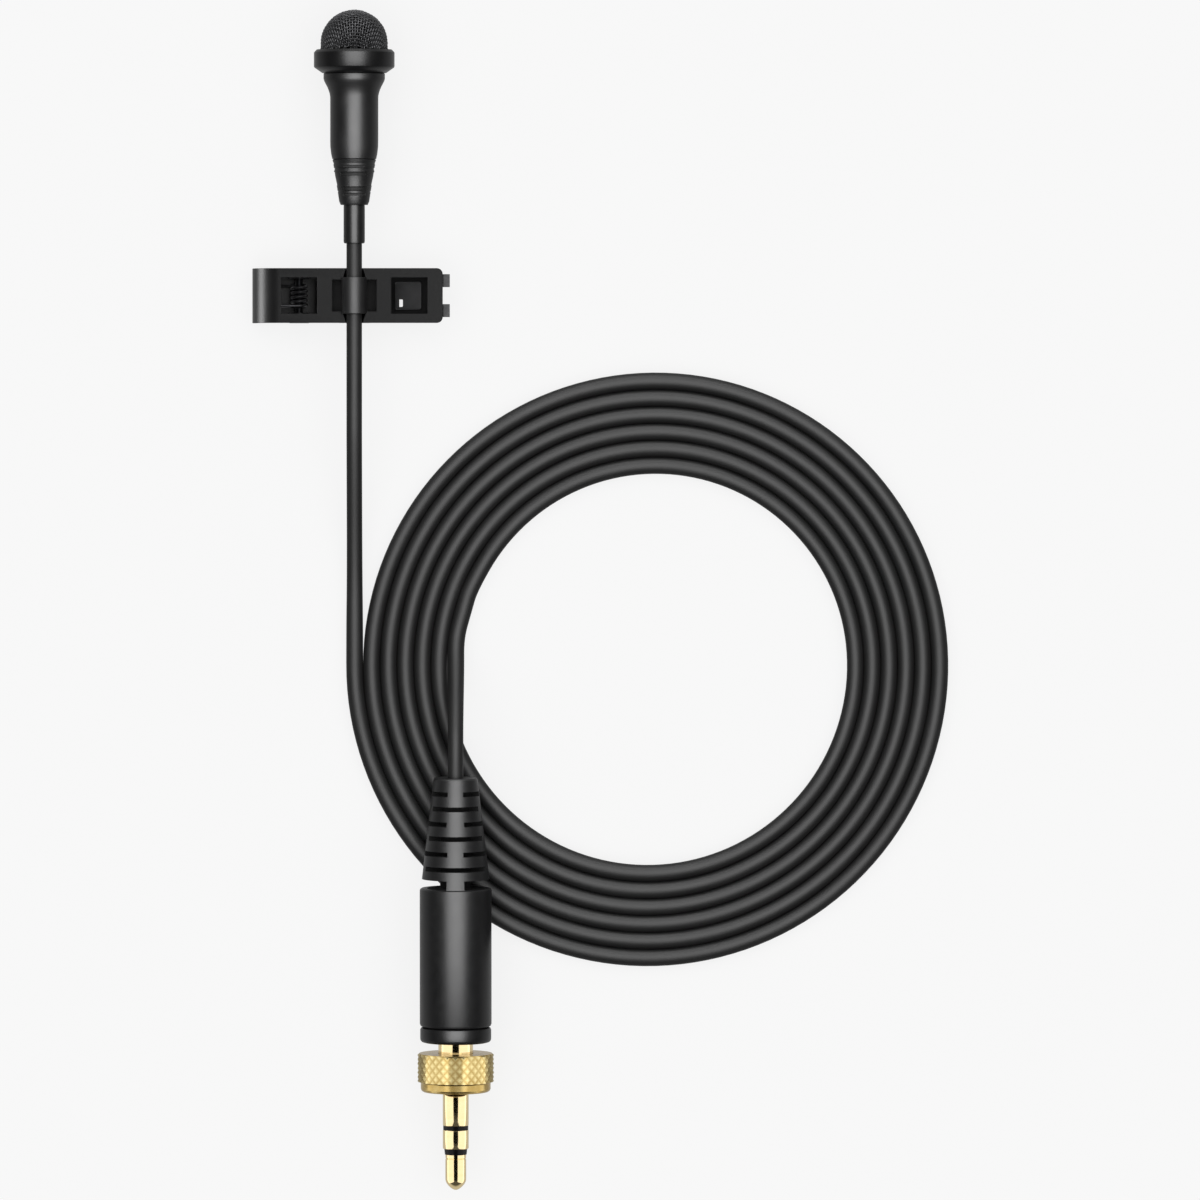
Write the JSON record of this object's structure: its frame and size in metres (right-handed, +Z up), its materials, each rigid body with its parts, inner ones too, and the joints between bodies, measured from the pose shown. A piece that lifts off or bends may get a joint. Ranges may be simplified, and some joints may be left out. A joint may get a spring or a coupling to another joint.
{
  "type": "lavalier microphone",
  "caption": "Clip-on lavalier microphone with a mesh windshield, a sprung cable clip, a thin coiled cable and a locking plug with a knurled nut.",
  "frame": {"origin": "middle of the base of the box round the microphone and its clip, on the plane they lie on", "axes": "+Y along the microphone towards its dome, +Z up from the plane that the object lies on, +X towards the jaw's mouth"},
  "size_m": [0.0941, 0.1596, 0.0119],
  "materials": {
    "black_wire_mesh": "black oxide woven wire",
    "moulded_black": "fine moulded matt",
    "black_metal": "satin black coating",
    "clip_black": "satin black lacquer",
    "black_rubber": "moulded matt",
    "cable_jacket": "extruded satin",
    "foam": "open-cell foam",
    "capsule_metal": "drawn, bright",
    "spring_steel": "bright wire",
    "gold": "gold plated, polished",
    "black_insulator": "glossy",
    "pale_insulator": "plain",
    "film": "metallised film",
    "board": "solder resist",
    "wire": "insulated conductor"
  },
  "bodies": {
    "microphone": {"mic_housing": "black_metal", "mic_strain_relief": "black_rubber", "cable_sleeve": "black_rubber", "capsule_case": "capsule_metal", "diaphragm_ring": "capsule_metal", "diaphragm": "film", "backplate": "capsule_metal", "backplate_holder": "pale_insulator", "capsule_board": "board", "capsule_seal": "black_rubber", "microphone_wires": "wire", "cord_lead": "cable_jacket", "cord_coil": "cable_jacket", "cord_tail": "cable_jacket", "plug_boot": "black_rubber", "plug_barrel": "moulded_black", "plug_end_ring": "moulded_black", "plug_liner": "pale_insulator", "jack_sleeve": "gold", "jack_insulator_rear": "black_insulator", "jack_ring": "gold", "jack_insulator_front": "black_insulator", "jack_tip": "gold", "plug_cable_end": "cable_jacket", "cable_clamp": "capsule_metal", "solder_lug_ring": "capsule_metal", "solder_lug_tip": "capsule_metal", "plug_wires": "wire"},
    "windshield": {"windshield_mesh": "black_wire_mesh", "windshield_foam": "foam", "windshield_collar": "moulded_black"},
    "clip": {"clip_front_plate": "clip_black", "clip_hinge_pin": "spring_steel", "clip_spring_coil": "spring_steel", "cable_holder": "moulded_black"},
    "jaw": {"clip_rear_jaw": "clip_black", "clip_spring_leg": "spring_steel"},
    "nut_ring": {"nut_retaining_ring": "spring_steel"},
    "nut": {"lock_nut": "gold"}
  },
  "joints": [
    {"name": "windshield_pull", "type": "slide", "parent": "microphone", "child": "windshield", "axis": [0, 1, 0], "range_m": [0, 0.008]},
    {"name": "clip_slide", "type": "slide", "parent": "microphone", "child": "clip", "axis": [0, 1, 0], "range_m": [-0.008, 0.003]},
    {"name": "jaw_open", "type": "hinge", "parent": "clip", "child": "jaw", "pos_m": [-0.00703, -0.01747, 0.00261], "axis": [0, 1, 0], "range_deg": [0, 25], "stiffness_Nm_per_rad": 0.01, "springref_deg": -34.38},
    {"name": "nut_play", "type": "slide", "parent": "microphone", "child": "nut_ring", "axis": [0, 0.9974, 0.072], "range_m": [0, 0.0005]},
    {"name": "nut_spin", "type": "hinge", "parent": "nut_ring", "child": "nut", "pos_m": [0.01418, -0.12064, 0.0054], "axis": [0, -0.9974, -0.072], "continuous": true}
  ]
}
